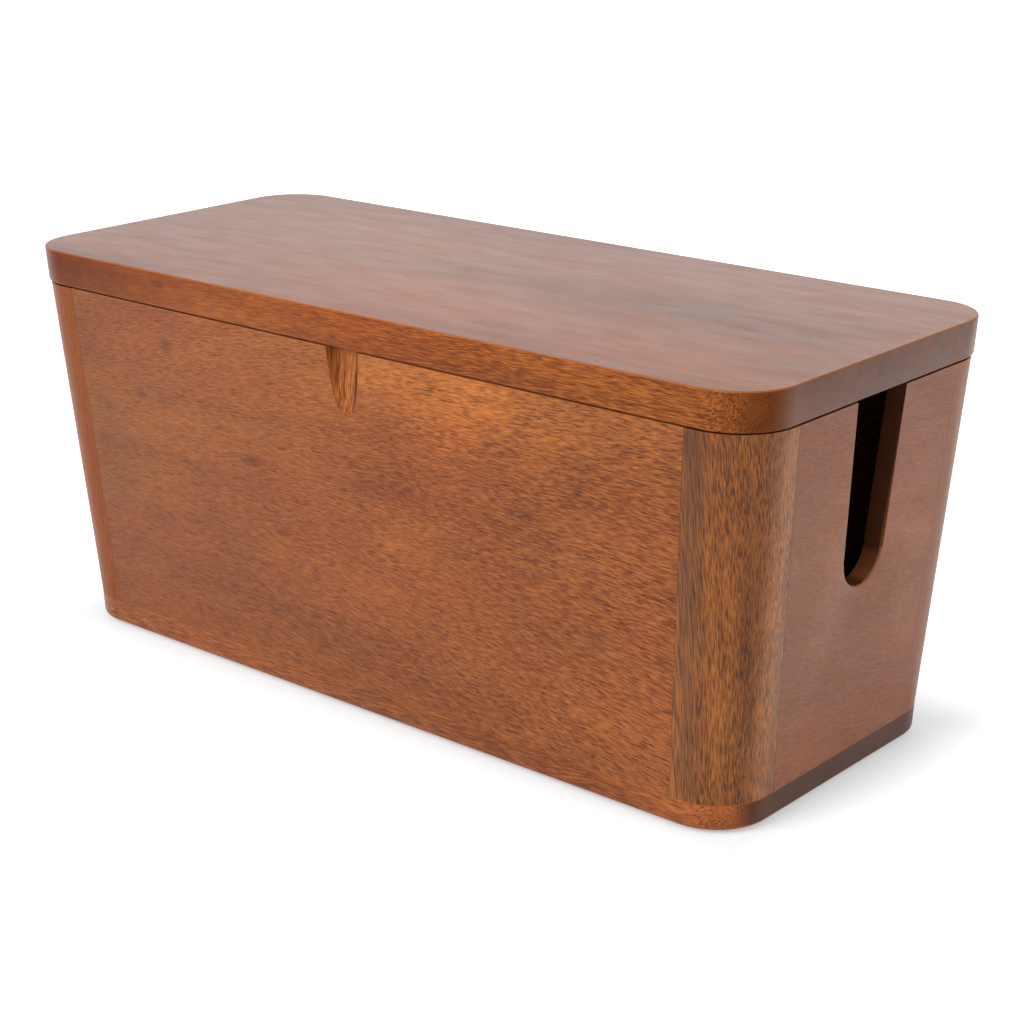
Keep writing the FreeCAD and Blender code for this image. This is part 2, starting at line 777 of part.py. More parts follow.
make_sheet()
PARTS = make_parts()
document.recompute()
check(PARTS)
os.makedirs("parts", exist_ok=True)
for part in PARTS:
    part.Shape.exportStep(f"parts/{part.Label}.step")
    print(part.Label, len(part.Shape.Solids), round(part.Shape.Volume))
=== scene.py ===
"""Lidded wooden cable management box: lacquered boards over the fixed frame, and a small studio."""
import math

import bmesh
import bpy
from bpy.props import FloatProperty, FloatVectorProperty, PointerProperty
from mathutils import Matrix, Vector


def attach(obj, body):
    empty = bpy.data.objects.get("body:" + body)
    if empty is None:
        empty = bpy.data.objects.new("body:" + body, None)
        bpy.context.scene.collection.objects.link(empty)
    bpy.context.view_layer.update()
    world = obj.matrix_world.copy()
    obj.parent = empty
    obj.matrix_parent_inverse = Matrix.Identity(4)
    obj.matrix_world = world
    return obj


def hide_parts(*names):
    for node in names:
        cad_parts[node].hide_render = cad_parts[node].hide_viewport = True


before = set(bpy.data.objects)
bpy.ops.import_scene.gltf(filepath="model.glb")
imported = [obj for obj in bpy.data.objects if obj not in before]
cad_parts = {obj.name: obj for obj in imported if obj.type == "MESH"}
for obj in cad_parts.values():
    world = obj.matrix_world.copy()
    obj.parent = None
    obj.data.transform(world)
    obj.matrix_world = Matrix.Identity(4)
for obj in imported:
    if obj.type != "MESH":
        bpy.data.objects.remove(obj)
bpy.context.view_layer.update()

bl_info = {
    "name": "Cable management box",
    "version": (1, 0, 0),
    "blender": (4, 5, 0),
    "location": "3D View > Sidebar > Cable box",
    "description": "Builds a tapered wooden cable box with a loose lid, and its studio",
    "category": "Add Mesh",
}

MM = 0.001
SIDES = {"left": -1, "right": 1}
FACES = {"front": -1, "back": 1}
ARC_STEPS = 24
SAME = 1e-6  # lengths that differ by less are the same


def length(name, description, default):
    return FloatProperty(name=name, description=description, default=default * MM, unit="LENGTH", precision=5)


def colour(name, description, default):
    return FloatVectorProperty(
        name=name, description=description, default=default, size=3, subtype="COLOR", min=0, max=1
    )


class BoxSizes(bpy.types.PropertyGroup):
    """Sizes of the box."""
    lid_length: length("Lid length", "Length of the lid's top", 400)
    lid_width: length("Lid width", "Width of the lid's top", 170)
    lid_thickness: length("Lid thickness", "Thickness of the lid board", 15.5)
    lid_corner_radius: length("Lid corner radius", "Radius of the lid's corners at its top", 25)
    lid_undercut: length("Lid undercut", "How far the lid's sides lean in", 1)
    lid_top_edge: length("Lid top edge", "Radius of the lid's top edge", 0.7)
    lid_lower_edge: length("Lid lower edge", "Radius of the lid's lower edge", 0.8)
    lid_hairline: length("Lid hairline", "Gap under the lid where the walls' square ends fall away", 0.72)
    shadow_reveal: length("Shadow reveal", "How far the walls stand back from the lid", 0.4)
    wall_height: length("Wall height", "Height of the walls", 150)
    wall_thickness: length("Wall thickness", "Thickness of the panels", 8)
    end_lean: length("End lean", "How far an end leans in from top to foot", 11.3)
    side_lean: length("Side lean", "How far a long side leans in from top to foot", 8.6)
    post_corner_radius: length("Post corner radius", "Radius of the quarter round posts", 24.5)
    post_top_width: length("Post top width", "Width of a post on the long side, at its top", 30)
    post_foot_width: length("Post foot width", "Width of a post on the long side, at its foot", 28)
    post_end_width: length("Post end width", "Width of a post on the end", 28.5)
    base_thickness: length("Base thickness", "Thickness of the base board", 11)
    base_undercut: length("Base undercut", "How far the base board's edge leans in", 0.6)
    base_edge: length("Base edge", "Radius of the base board's lower edge", 2)
    pad_height: length("Pad height", "Height of the foot pads", 1.5)
    eased_edge: length("Eased edge", "Sanded edge of each board", 0.22)
    slot_mouth_width: length("Slot mouth", "Width of a cable slot at its top", 34)
    slot_radius: length("Slot radius", "Radius of the round bottom of a cable slot", 13)
    slot_depth: length("Slot depth", "Depth of a cable slot", 78)
    slot_rim: length("Slot rim", "Radius of the outer rim of a cable slot", 1.1)
    scoop_radius: length("Scoop radius", "Radius of the thumb scoop", 10)
    scoop_height: length("Scoop height", "Height of the thumb scoop", 28.5)
    scoop_depth: length("Scoop depth", "Depth of the thumb scoop at the top of the wall", 5.6)


class BoxColours(bpy.types.PropertyGroup):
    """Colours of the box and the studio."""
    light_wood: colour("Light wood", "Stained wood where it is lightest", (0.47, 0.150, 0.040))
    lid_wood: colour("Lid wood", "Stained wood of the lid where it is lightest", (0.50, 0.148, 0.034))
    dark_wood: colour("Dark wood", "Stained wood where it is darkest", (0.20, 0.052, 0.018))
    pore: colour("Pores", "Stain gathered in the pores", (0.055, 0.017, 0.008))
    golden_wood: colour("Golden wood", "Lightest streaks of the front right post", (0.46, 0.155, 0.040))
    smoky_wood: colour("Smoky wood", "Darkest streaks of the front right post", (0.110, 0.040, 0.018))
    pale_wood: colour("Pale wood", "Bare beech of dowels and splines", (0.60, 0.40, 0.22))
    steel: colour("Steel", "Plated screws", (0.62, 0.60, 0.56))
    rubber: colour("Rubber", "Foot pads", (0.028, 0.028, 0.03))
    floor: colour("Floor", "Studio floor", (0.82, 0.90, 0.93))


# Levels and outlines

def sizes():
    return bpy.context.scene.cable_box_sizes


def colours():
    return bpy.context.scene.cable_box_colours


def base_top():
    return sizes().pad_height + sizes().base_thickness


def wall_top():
    return base_top() + sizes().wall_height


def fallen(height):
    """Share of the lean that the walls have taken at a height."""
    return (wall_top() - height) / sizes().wall_height


def top_half_length():
    return sizes().lid_length / 2 - sizes().lid_undercut - sizes().shadow_reveal


def top_half_width():
    return sizes().lid_width / 2 - sizes().lid_undercut - sizes().shadow_reveal


def half_length(height):
    return top_half_length() - sizes().end_lean * fallen(height)


def half_width(height):
    return top_half_width() - sizes().side_lean * fallen(height)


def long_seam(height):
    """X of the seam between a long panel and its post."""
    share = fallen(height)
    width = sizes().post_top_width * (1 - share) + sizes().post_foot_width * share
    return half_length(height) - width


def end_seam(height):
    """Y of the seam between an end panel and its post."""
    return half_width(height) - sizes().post_end_width


# Meshes

def finish_piece(mesh, name, material, body, node, rounding=0, cut_angle=30):
    """Turns a bmesh into a shown piece that stands for one node of the frame.

    Edges that turn by more than the cut angle are sharp, or rounded where a rounding is given.
    """
    bmesh.ops.recalc_face_normals(mesh, faces=mesh.faces)
    data = bpy.data.meshes.new(name)
    mesh.to_mesh(data)
    mesh.free()
    piece = bpy.data.objects.new(name, data)
    bpy.context.scene.collection.objects.link(piece)
    for face in data.polygons:
        face.use_smooth = True
    data.set_sharp_from_angle(angle=math.radians(cut_angle))
    data.materials.append(material)
    if rounding:
        bevel = piece.modifiers.new("Eased edges", "BEVEL")
        bevel.width = rounding
        bevel.segments = 3
        bevel.limit_method = "ANGLE"
        bevel.angle_limit = math.radians(cut_angle)
        bevel.harden_normals = True
    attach(piece, body)
    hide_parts(node)
    return piece


def level_edges(mesh, height):
    """The edges that lie at one height."""
    return [edge for edge in mesh.edges if all(abs(vertex.co.z - height) < SAME for vertex in edge.verts)]


def rise_of(edge):
    return abs(edge.verts[0].co.z - edge.verts[1].co.z)


def round_edges(mesh, edges, radius, steps):
    bmesh.ops.bevel(
        mesh, geom=edges, offset=radius, offset_type="OFFSET", affect="EDGES",
        segments=steps, profile=0.5, material=-1,
    )


def slab(half_long, half_wide, low, high, radius, undercut):
    """A board with round corners whose sides lean in downwards by the same amount all round."""
    mesh = bmesh.new()
    scale = Matrix.Diagonal((2 * half_long, 2 * half_wide, high - low, 1))
    bmesh.ops.create_cube(mesh, size=1, matrix=Matrix.Translation((0, 0, (low + high) / 2)) @ scale)
    round_edges(mesh, [edge for edge in mesh.edges if rise_of(edge) > SAME], radius, ARC_STEPS)
    for vertex in mesh.verts:
        if vertex.co.z > (low + high) / 2:
            continue
        centre_x = max(-half_long + radius, min(half_long - radius, vertex.co.x))
        centre_y = max(-half_wide + radius, min(half_wide - radius, vertex.co.y))
        vertex.co.x = centre_x + (vertex.co.x - centre_x) * (1 - undercut / radius)
        vertex.co.y = centre_y + (vertex.co.y - centre_y) * (1 - undercut / radius)
    mesh.normal_update()
    return mesh


def standing_board(lower, upper):
    """A board between a lower and an upper outline, each a list of points in the same order."""
    mesh = bmesh.new()
    foot = [mesh.verts.new(point) for point in lower]
    face = mesh.faces.new(foot)
    raised = bmesh.ops.extrude_face_region(mesh, geom=[face])
    for vertex in raised["geom"]:
        if isinstance(vertex, bmesh.types.BMVert):
            place = min(range(len(lower)), key=lambda i: (Vector(lower[i]) - vertex.co).length)
            vertex.co = upper[place]
    bmesh.ops.recalc_face_normals(mesh, faces=mesh.faces)
    return mesh


def mirrored(outline, side, face):
    return [(side * x, face * y, z) for x, y, z in outline]


# Wood

def add_node(tree, kind, inputs=None, **settings):
    """One node. Each input is a plain value or a socket of another node."""
    node = tree.nodes.new(kind)
    for name, value in settings.items():
        setattr(node, name, value)
    for name, value in (inputs or {}).items():
        socket = node.inputs[name]
        if isinstance(value, bpy.types.NodeSocket):
            tree.links.new(value, socket)
        else:
            socket.default_value = value
    return node


def object_place(tree):
    return add_node(tree, "ShaderNodeTexCoord").outputs["Object"]


def part_of(tree, vector, axis):
    """X, Y or Z of a vector."""
    return add_node(tree, "ShaderNodeSeparateXYZ", {"Vector": vector}).outputs[axis]


def vector_maths(tree, operation, first, second=(0, 0, 0)):
    """A sum, a product or the like of two vectors."""
    inputs = {0: first, 1: second}
    return add_node(tree, "ShaderNodeVectorMath", inputs, operation=operation).outputs["Vector"]


def measure(tree, operation, first, second=(0, 0, 0)):
    """The number that belongs to vectors, such as a length or a dot product."""
    inputs = {0: first, 1: second}
    return add_node(tree, "ShaderNodeVectorMath", inputs, operation=operation).outputs["Value"]


def noise(tree, place, cells, detail=3.0, roughness=0.55, output="Fac"):
    """Noise with its cells per metre given along the grain and across it."""
    along, across = cells
    inputs = {
        "Vector": vector_maths(tree, "MULTIPLY", place, (along, across, across)),
        "Scale": 1.0, "Detail": detail, "Roughness": roughness,
    }
    return add_node(tree, "ShaderNodeTexNoise", inputs).outputs[output]


def swirl(tree, place, cells, detail, roughness):
    """A vector that drifts about zero."""
    drift = noise(tree, place, cells, detail, roughness, "Color")
    return vector_maths(tree, "SUBTRACT", drift, (0.5, 0.5, 0.5))


def remap(tree, value, low, high, to_low=0.0, to_high=1.0):
    inputs = {0: value, 1: low, 2: high, 3: to_low, 4: to_high}
    return add_node(tree, "ShaderNodeMapRange", inputs).outputs[0]


def arithmetic(tree, operation, first, second=0.0):
    return add_node(tree, "ShaderNodeMath", {0: first, 1: second}, operation=operation).outputs[0]


def blended(tree, share, first, second, mode="MIX"):
    inputs = {0: share, 6: first, 7: second}
    return add_node(tree, "ShaderNodeMix", inputs, data_type="RGBA", blend_type=mode).outputs[2]


def opaque(rgb, strength=1.0):
    return (rgb[0] * strength, rgb[1] * strength, rgb[2] * strength, 1.0)


GRAIN_TURNS = {
    "x": (0, 0, 0),
    "y": (0, 0, -math.pi / 2),
    "z": (0, math.pi / 2, 0),
}
GRAIN_AXES = {"x": (1, 0, 0), "y": (0, 1, 0), "z": (0, 0, 1)}

# Noise cells per metre, along the grain and across it
DRIFT_CELLS = (7, 9)
RUDDY_CELLS = (3.5, 11)
CLOUD_CELLS = (5, 17)
BAND_CELLS = (5, 95)
STREAK_CELLS = (24, 420)
DASH_CELLS = (85, 780)
FIBRE_CELLS = (125, 1400)
FINE_PORE_CELLS = (120, 1450)
COARSE_PORE_CELLS = (80, 1050)
PORE_CROWD_CELLS = (16, 60)
MARK_CELLS = (48, 290)
SHEEN_CELLS = (30, 90)
PATCH_CELLS = (45, 45)

RUDDY_TINT = (0.98, 0.82, 0.86, 1.0)
FACING_FROM, FACING_TO = 0.88, 0.985  # from a slanted face to one that looks along the axis
FADE_FROM, FADE_TO = -180 * MM, 170 * MM  # where along the box the fine figure comes in
# Reach of the lightened upper edges, partly wear and partly painted highlight
RUBBED_HIGHLIGHT_REACH = 0.7 * MM
PORE_DEPTH = 0.06 * MM
PLAIN_LEVEL = 0.5  # how strongly bare lacquer shines


def grain_place(tree, along, seed, tilt, waviness, dip, bow, fan, stretch, fineness):
    """Position in the board with X along the grain, which slopes, waves and bows a little.

    Tilt is the slope at the middle of the board, bow is how much it grows along the board, and fan is how
    much it grows towards the foot. Dip is the share of the waves that runs into the depth of the board,
    which shortens the pores. Stretch makes all of the figure longer, and fineness makes it smaller.
    """
    turned = add_node(
        tree, "ShaderNodeMapping", {"Vector": object_place(tree), "Rotation": GRAIN_TURNS[along]}
    ).outputs[0]
    run, height = part_of(tree, turned, "X"), part_of(tree, turned, "Z")
    fall = arithmetic(tree, "MULTIPLY", arithmetic(tree, "SUBTRACT", wall_top(), height), fan)
    rise = arithmetic(tree, "ADD", arithmetic(tree, "MULTIPLY", run, bow), fall)
    rise = arithmetic(tree, "MULTIPLY", run, rise)
    raised = add_node(tree, "ShaderNodeCombineXYZ", {"Z": rise}).outputs[0]
    bowed = vector_maths(tree, "ADD", turned, raised)
    straight = add_node(
        tree, "ShaderNodeMapping", {"Vector": bowed, "Location": seed, "Rotation": (0, tilt, tilt / 2)}
    ).outputs[0]
    waves = vector_maths(
        tree, "MULTIPLY", swirl(tree, straight, DRIFT_CELLS, 2.0, 0.45), (0, waviness * dip, waviness)
    )
    waved = vector_maths(tree, "ADD", straight, waves)
    return vector_maths(tree, "MULTIPLY", waved, (fineness / stretch, fineness, fineness))


def inner_share(tree):
    """One where the surface faces the upright line through the middle of the box."""
    normal = add_node(tree, "ShaderNodeNewGeometry").outputs["True Normal"]
    level_place = vector_maths(tree, "MULTIPLY", object_place(tree), (1, 1, 0))
    return remap(tree, measure(tree, "DOT_PRODUCT", normal, level_place), -2 * MM, -10 * MM)


def facing_share(tree, axis, low=FACING_FROM, high=FACING_TO):
    """How far the surface faces along an axis, either way."""
    normal = add_node(tree, "ShaderNodeNewGeometry").outputs["True Normal"]
    facing = arithmetic(tree, "ABSOLUTE", measure(tree, "DOT_PRODUCT", normal, axis))
    return remap(tree, facing, low, high)


def upper_edge_share(tree, radius):
    """Where an edge looks up: a rounded one by its own normal, a sharp one by a softened normal."""
    soft = add_node(tree, "ShaderNodeBevel", {"Radius": radius}, samples=6).outputs[0]
    normal = add_node(tree, "ShaderNodeNewGeometry").outputs["Normal"]
    bend = remap(tree, measure(tree, "DOT_PRODUCT", soft, normal), 0.99, 0.80)
    sharp = arithmetic(tree, "MULTIPLY", bend, remap(tree, part_of(tree, soft, "Z"), 0.1, 0.4))
    turn = part_of(tree, normal, "Z")
    rounded = arithmetic(tree, "MULTIPLY", remap(tree, turn, 0.1, 0.35), remap(tree, turn, 0.97, 0.85))
    return arithmetic(tree, "MAXIMUM", sharp, rounded)


def patched(tree, tone, patches):
    """The tone with soft ragged patches multiplied in.

    Each patch has its middle and its reach along X, Y and Z, in millimetres, and its tint.
    """
    position = object_place(tree)
    torn = swirl(tree, position, PATCH_CELLS, 3.0, 0.55)
    for middle, reach, tint in patches:
        offset = vector_maths(tree, "SUBTRACT", position, [value * MM for value in middle])
        scaled = vector_maths(tree, "MULTIPLY", offset, [1 / (value * MM) for value in reach])
        away = measure(tree, "LENGTH", vector_maths(tree, "ADD", scaled, torn))
        share = add_node(
            tree, "ShaderNodeMapRange", {0: away, 1: 1.15, 2: 0.15}, interpolation_type="SMOOTHSTEP"
        ).outputs[0]
        tone = blended(tree, share, tone, (*tint, 1.0), "MULTIPLY")
    return tone


def stain_depth(tree, place, fibre, calm, broad_calm, clouds, bands, streaks, contrast):
    """How dark the stain lies: wide clouds, bands and streaks, and fibres where the board isn't calm."""
    broad = remap(tree, noise(tree, place, CLOUD_CELLS, 4.0, 0.6), 0.34, 0.66, -clouds / 2, clouds / 2)
    band = remap(tree, noise(tree, place, BAND_CELLS, 4.0, 0.6), 0.34, 0.66, -bands / 2, bands / 2)
    streak = noise(tree, place, STREAK_CELLS, 3.0, 0.6)
    streak = remap(tree, streak, 0.3, 0.7, -0.25 * streaks, 0.25 * streaks)
    broad = arithmetic(tree, "ADD", arithmetic(tree, "ADD", broad, band), streak)
    broad = arithmetic(tree, "MULTIPLY", broad, broad_calm)
    dash = noise(tree, place, DASH_CELLS, 2.0, 0.6)
    small = arithmetic(
        tree, "ADD", remap(tree, fibre, 0.25, 0.75, -0.9 * contrast, 0.9 * contrast),
        remap(tree, dash, 0.33, 0.67, -0.3 * streaks, 0.3 * streaks),
    )
    small = arithmetic(tree, "MULTIPLY", small, calm)
    return arithmetic(tree, "ADD", arithmetic(tree, "ADD", broad, 0.5), small)


def pore_dashes(tree, place, calm, sparse):
    """Where the open pores lie, as short dashes in crowds."""
    fine = noise(tree, place, FINE_PORE_CELLS, 1.0, 0.5)
    coarse = noise(tree, place, COARSE_PORE_CELLS, 1.5, 0.5)
    crowd = noise(tree, place, PORE_CROWD_CELLS, 3.0)
    dashes = arithmetic(
        tree, "MAXIMUM", remap(tree, fine, 0.55 + sparse, 0.68 + sparse / 2, 0.0, 0.9),
        remap(tree, coarse, 0.59 + sparse, 0.70 + sparse / 2),
    )
    dashes = arithmetic(tree, "MULTIPLY", dashes, remap(tree, crowd, 0.35, 0.60, 0.35, 1.0))
    return arithmetic(tree, "MULTIPLY", dashes, calm)


def lacquer(tree, place, relief, upward, endward, roughness, level, gloss, top_gloss, end_gloss):
    """A satin lacquer with the pores pressed into it, which mirrors more on the top and the ends."""
    shader = tree.nodes["Principled BSDF"]
    sheen = noise(tree, place, SHEEN_CELLS, 3.0)
    tree.links.new(remap(tree, sheen, 0.3, 0.7, *roughness), shader.inputs["Roughness"])
    bump = add_node(tree, "ShaderNodeBump", {"Strength": 0.25, "Distance": PORE_DEPTH, "Height": relief})
    tree.links.new(bump.outputs[0], shader.inputs["Normal"])
    shader.inputs["IOR"].default_value = 1.5
    shader.inputs["Specular IOR Level"].default_value = level
    if level < PLAIN_LEVEL:
        shiny = arithmetic(tree, "MAXIMUM", upward, endward)
        shine = remap(tree, shiny, 0.0, 1.0, level, PLAIN_LEVEL)
        tree.links.new(shine, shader.inputs["Specular IOR Level"])
    mirrored_room = arithmetic(
        tree, "MAXIMUM", remap(tree, endward, 0.0, 1.0, gloss, end_gloss),
        remap(tree, upward, 0.0, 1.0, 0.0, top_gloss),
    )
    tree.links.new(mirrored_room, shader.inputs["Specular Tint"])


def stained_wood(
    name, along, seed, light, dark,
    tilt=0.05, waviness=0.024, dip=1.0, bow=0.0, fan=0.0, stretch=1.0, fineness=1.0,
    clouds=0.6, bands=0.35, streaks=1.0, contrast=1.0, pores=0.75, sparse=0.0, marks=0.4,
    end_grain=0.55, end_from=0.45, fade=1.0, top_calm=0.0, top_shade=1.0, strength=1.0,
    worn_highlight=0.35, inside=1.0, roughness=(0.38, 0.47), level=PLAIN_LEVEL,
    gloss=0.22, top_gloss=0.8, end_gloss=0.9, patches=(),
):
    """Stained open-pored hardwood under a satin lacquer.

    The first row of settings lays the grain, as grain_place says. Clouds, bands, streaks and contrast are
    how much the tone varies, from its widest figure to its fibres. Sparse thins out the pores. End grain
    is how bright the ends of the fibres stay. Fade is what is left of the fine figure at the left end.
    The top of a board can be calmer, where the lacquer fills its pores. Top shade darkens the faces that
    look up, as painted shade. Worn highlight lightens the upper edges, partly as wear of the stain and partly
    as a painted highlight where they catch the light. Inside is how bright the faces inside the box stay,
    darkened as painted shade. Level is how strongly the lacquer shines, and gloss is how white it mirrors
    the room, by where the surface faces.
    """
    material = bpy.data.materials.new(name)
    material.use_nodes = True
    tree = material.node_tree
    place = grain_place(tree, along, seed, tilt, waviness, dip, bow, fan, stretch, fineness)
    across = facing_share(tree, GRAIN_AXES[along], end_from, 0.95)
    upward = facing_share(tree, GRAIN_AXES["z"])
    endward = facing_share(tree, GRAIN_AXES["x"])
    calm = remap(tree, upward, 0.0, 1.0, 1.0, 1.0 - top_calm)
    calm = arithmetic(tree, "MULTIPLY", calm, remap(tree, across, 0.0, 1.0, 1.0, 0.35))
    lengthwise = part_of(tree, object_place(tree), "X")
    calm = arithmetic(tree, "MULTIPLY", calm, remap(tree, lengthwise, FADE_FROM, FADE_TO, fade, 1.0))

    fibre = noise(tree, place, FIBRE_CELLS, 1.5, 0.5)
    broad_calm = remap(tree, upward, 0.0, 1.0, 1.0, 1.0 - 0.8 * top_calm)
    depth = stain_depth(tree, place, fibre, calm, broad_calm, clouds, bands, streaks, contrast)
    tone = blended(tree, remap(tree, depth, -0.3, 1.3), opaque(light, strength), opaque(dark, strength))
    ruddy = noise(tree, place, RUDDY_CELLS, 2.0)
    tone = blended(tree, remap(tree, ruddy, 0.45, 0.7, 0.0, 0.7), tone, RUDDY_TINT, "MULTIPLY")
    dashes = pore_dashes(tree, place, calm, sparse)
    tone = blended(tree, arithmetic(tree, "MULTIPLY", dashes, pores), tone, opaque(colours().pore))
    mark = noise(tree, place, MARK_CELLS, 2.0, 0.5)
    tone = blended(tree, remap(tree, mark, 0.68, 0.82, 0.0, marks), tone, opaque(colours().pore, 1.3))

    tone = blended(tree, across, tone, (end_grain, end_grain * 0.92, end_grain * 0.95, 1.0), "MULTIPLY")
    # Painted shade: faces that look up are darkened, the lid's top and the floors of the cable slots
    tone = blended(tree, upward, tone, (top_shade, top_shade, top_shade, 1.0), "MULTIPLY")
    # Painted shade: faces inside the closed box are darkened
    if inside < 1:
        tone = blended(tree, inner_share(tree), tone, (inside, inside, inside, 1.0), "MULTIPLY")
    tone = patched(tree, tone, patches)
    # Upper edges lightened: partly wear of the stain, partly a painted highlight where the eased edges catch
    # the light
    rubbed_highlight = arithmetic(tree, "MULTIPLY", upper_edge_share(tree, RUBBED_HIGHLIGHT_REACH), worn_highlight)
    tone = blended(tree, rubbed_highlight, tone, opaque(light, 1.2))
    tree.links.new(tone, tree.nodes["Principled BSDF"].inputs["Base Color"])

    relief = arithmetic(tree, "SUBTRACT", remap(tree, fibre, 0.2, 0.8, 0.0, 0.35), dashes)
    lacquer(tree, place, relief, upward, endward, roughness, level, gloss, top_gloss, end_gloss)
    return material


def speckled(name, base, variation, roughness, metallic=0.0, cells=900.0):
    """A plain finish with fine mottling, for screws and pads."""
    material = bpy.data.materials.new(name)
    material.use_nodes = True
    tree = material.node_tree
    shader = tree.nodes["Principled BSDF"]
    mottle = noise(tree, object_place(tree), (cells, cells), 4.0, 0.6)
    tone = blended(
        tree, remap(tree, mottle, 0.3, 0.7), opaque(base, 1 - variation), opaque(base, 1 + variation)
    )
    tree.links.new(tone, shader.inputs["Base Color"])
    dull = remap(tree, mottle, 0.2, 0.8, roughness - 0.08, roughness + 0.08)
    tree.links.new(dull, shader.inputs["Roughness"])
    bump = add_node(tree, "ShaderNodeBump", {"Strength": 0.3, "Distance": 0.03 * MM, "Height": mottle})
    tree.links.new(bump.outputs[0], shader.inputs["Normal"])
    shader.inputs["Metallic"].default_value = metallic
    return material


# Patches where the boards are darker or lighter: middle and reach in millimetres, and tint

LID_TONES_AND_SHADE = (
    ((-190, 0, 178), (90, 95, 40), (0.84, 0.84, 0.82)),
    ((70, 0, 178), (110, 30, 30), (0.72, 0.75, 0.74)),
    ((150, 10, 178), (70, 40, 30), (0.84, 0.87, 0.86)),
    ((20, -42, 178), (110, 46, 30), (1.22, 1.17, 1.15)),
    ((140, -60, 178), (70, 26, 30), (1.20, 1.14, 1.14)),
    ((-60, 30, 178), (60, 26, 30), (1.10, 1.12, 1.12)),
    # Painted shade along the lid's front edge, at its left end and at its front right corner, where it
    # mirrors less of the room
    ((-188, -85, 170), (110, 20, 30), (0.52, 0.36, 0.25)),
    ((194, -80, 170), (28, 22, 30), (0.92, 0.92, 0.90)),
    ((0, 95, 178), (260, 42, 30), (0.82, 0.84, 0.84)),
    ((20, -87, 170), (130, 8, 20), (1.16, 1.16, 1.00)),
)
FRONT_KNOTS = (
    ((-108, 0, 146), (7, 200, 4.5), (0.50, 0.50, 0.56)),
    ((-60, 0, 103), (9, 200, 4), (0.58, 0.58, 0.60)),
    ((-128, 0, 120), (6, 200, 3), (0.66, 0.66, 0.70)),
    ((95, 0, 112), (10, 200, 4), (0.66, 0.64, 0.66)),
)
FRONT_TONES_AND_LIGHT = (
    ((-152, 0, 70), (40, 200, 70), (0.80, 0.82, 0.84)),
    ((-90, 0, 62), (60, 200, 40), (0.88, 0.89, 0.94)),
    # Lighter area high on the front, partly wood tone and partly painted light from above
    ((62, 0, 150), (80, 200, 28), (1.50, 1.48, 1.26)),
    ((25, 0, 78), (30, 200, 26), (1.14, 1.14, 1.08)),
    ((120, 0, 40), (45, 200, 20), (1.16, 1.14, 1.08)),
    ((150, 0, 95), (40, 200, 90), (1.16, 1.12, 1.08)),
    ((-176, 0, 90), (50, 200, 140), (0.88, 0.88, 0.84)),
    # Painted light from above: the top of the front lighter and its foot darker
    ((30, 0, 165), (220, 200, 66), (1.12, 1.13, 1.04)),
    ((-10, 0, 12), (220, 200, 50), (0.92, 0.90, 0.96)),
)
SCOOP_SHADE = (
    # Painted shade in the thumb scoop: under the lid at its upper left, and on its inner wall at the right
    ((-8, -82, 162), (6, 20, 24), (0.60, 0.60, 0.50)),
    ((5.5, -80, 150), (2.6, 20, 30), (0.34, 0.28, 0.30)),
)
RIGHT_END_PATCHES = (
    ((194, -46, 100), (20, 26, 90), (0.84, 0.86, 0.86)),
    ((191, 2, 64), (20, 34, 28), (0.84, 0.87, 0.92)),
)
POST_TONES_AND_LIGHT = {  # places as on the back right post, mirrored to the post that is named
    "post_front_right": (
        ((173, 84, 152), (8, 30, 40), (0.54, 0.59, 0.80)),
        ((170, 81, 100), (7, 30, 55), (0.60, 0.66, 0.88)),
        ((168, 78, 40), (6, 30, 50), (0.68, 0.74, 0.94)),
        # Painted shade where the quarter round turns away from the key light
        ((190, 70, 80), (9, 12, 90), (0.68, 0.69, 0.72)),
        # Painted sheen on the flat strip that faces the end
        ((196, 58, 90), (20, 6, 130), (1.38, 1.42, 1.50)),
    ),
    "post_front_left": (
        ((184, 76, 90), (60, 60, 240), (0.90, 0.80, 0.84)),
    ),
}
BASE_PATCHES = (
    ((172, -70, 6), (30, 40, 40), (1.24, 1.26, 1.22)),
    ((20, -78, 6), (110, 30, 30), (0.92, 0.92, 0.96)),
)


def moved_patches(patches, side, face=1):
    """Patches given for the right end or the back right post, mirrored to another one."""
    return [((side * x, face * y, z), reach, tint) for (x, y, z), reach, tint in patches]


# Pieces

class CABLEBOX_OT_lid(bpy.types.Operator):
    """Builds the lid board"""
    bl_idname = "cable_box.lid"
    bl_label = "Lid"

    def execute(self, context):
        s = sizes()
        low, high = wall_top(), wall_top() + s.lid_thickness
        mesh = slab(s.lid_length / 2, s.lid_width / 2, low, high, s.lid_corner_radius, s.lid_undercut)
        round_edges(mesh, level_edges(mesh, high), s.lid_top_edge, steps=4)
        round_edges(mesh, level_edges(mesh, low), s.lid_lower_edge, steps=4)
        c = colours()
        wood = stained_wood(
            "Lid wood", "x", (0.31, 0.07, 0.52), c.lid_wood, c.dark_wood,
            tilt=0.02, waviness=0.012, stretch=1.3, fineness=1.6,
            clouds=0.8, bands=0.4, streaks=0.4, contrast=1.9, pores=0.5, sparse=0.03, marks=0.2,
            end_grain=0.45, end_from=0.34, fade=0.1, top_calm=0.68, top_shade=0.83, strength=0.92,
            worn_highlight=0.5, roughness=(0.33, 0.42), level=0.2,
            gloss=0.0, top_gloss=0.94, end_gloss=0.38, patches=LID_TONES_AND_SHADE,
        )
        finish_piece(mesh, "lid_top_board", wood, "lid", "lid_board")
        return {"FINISHED"}


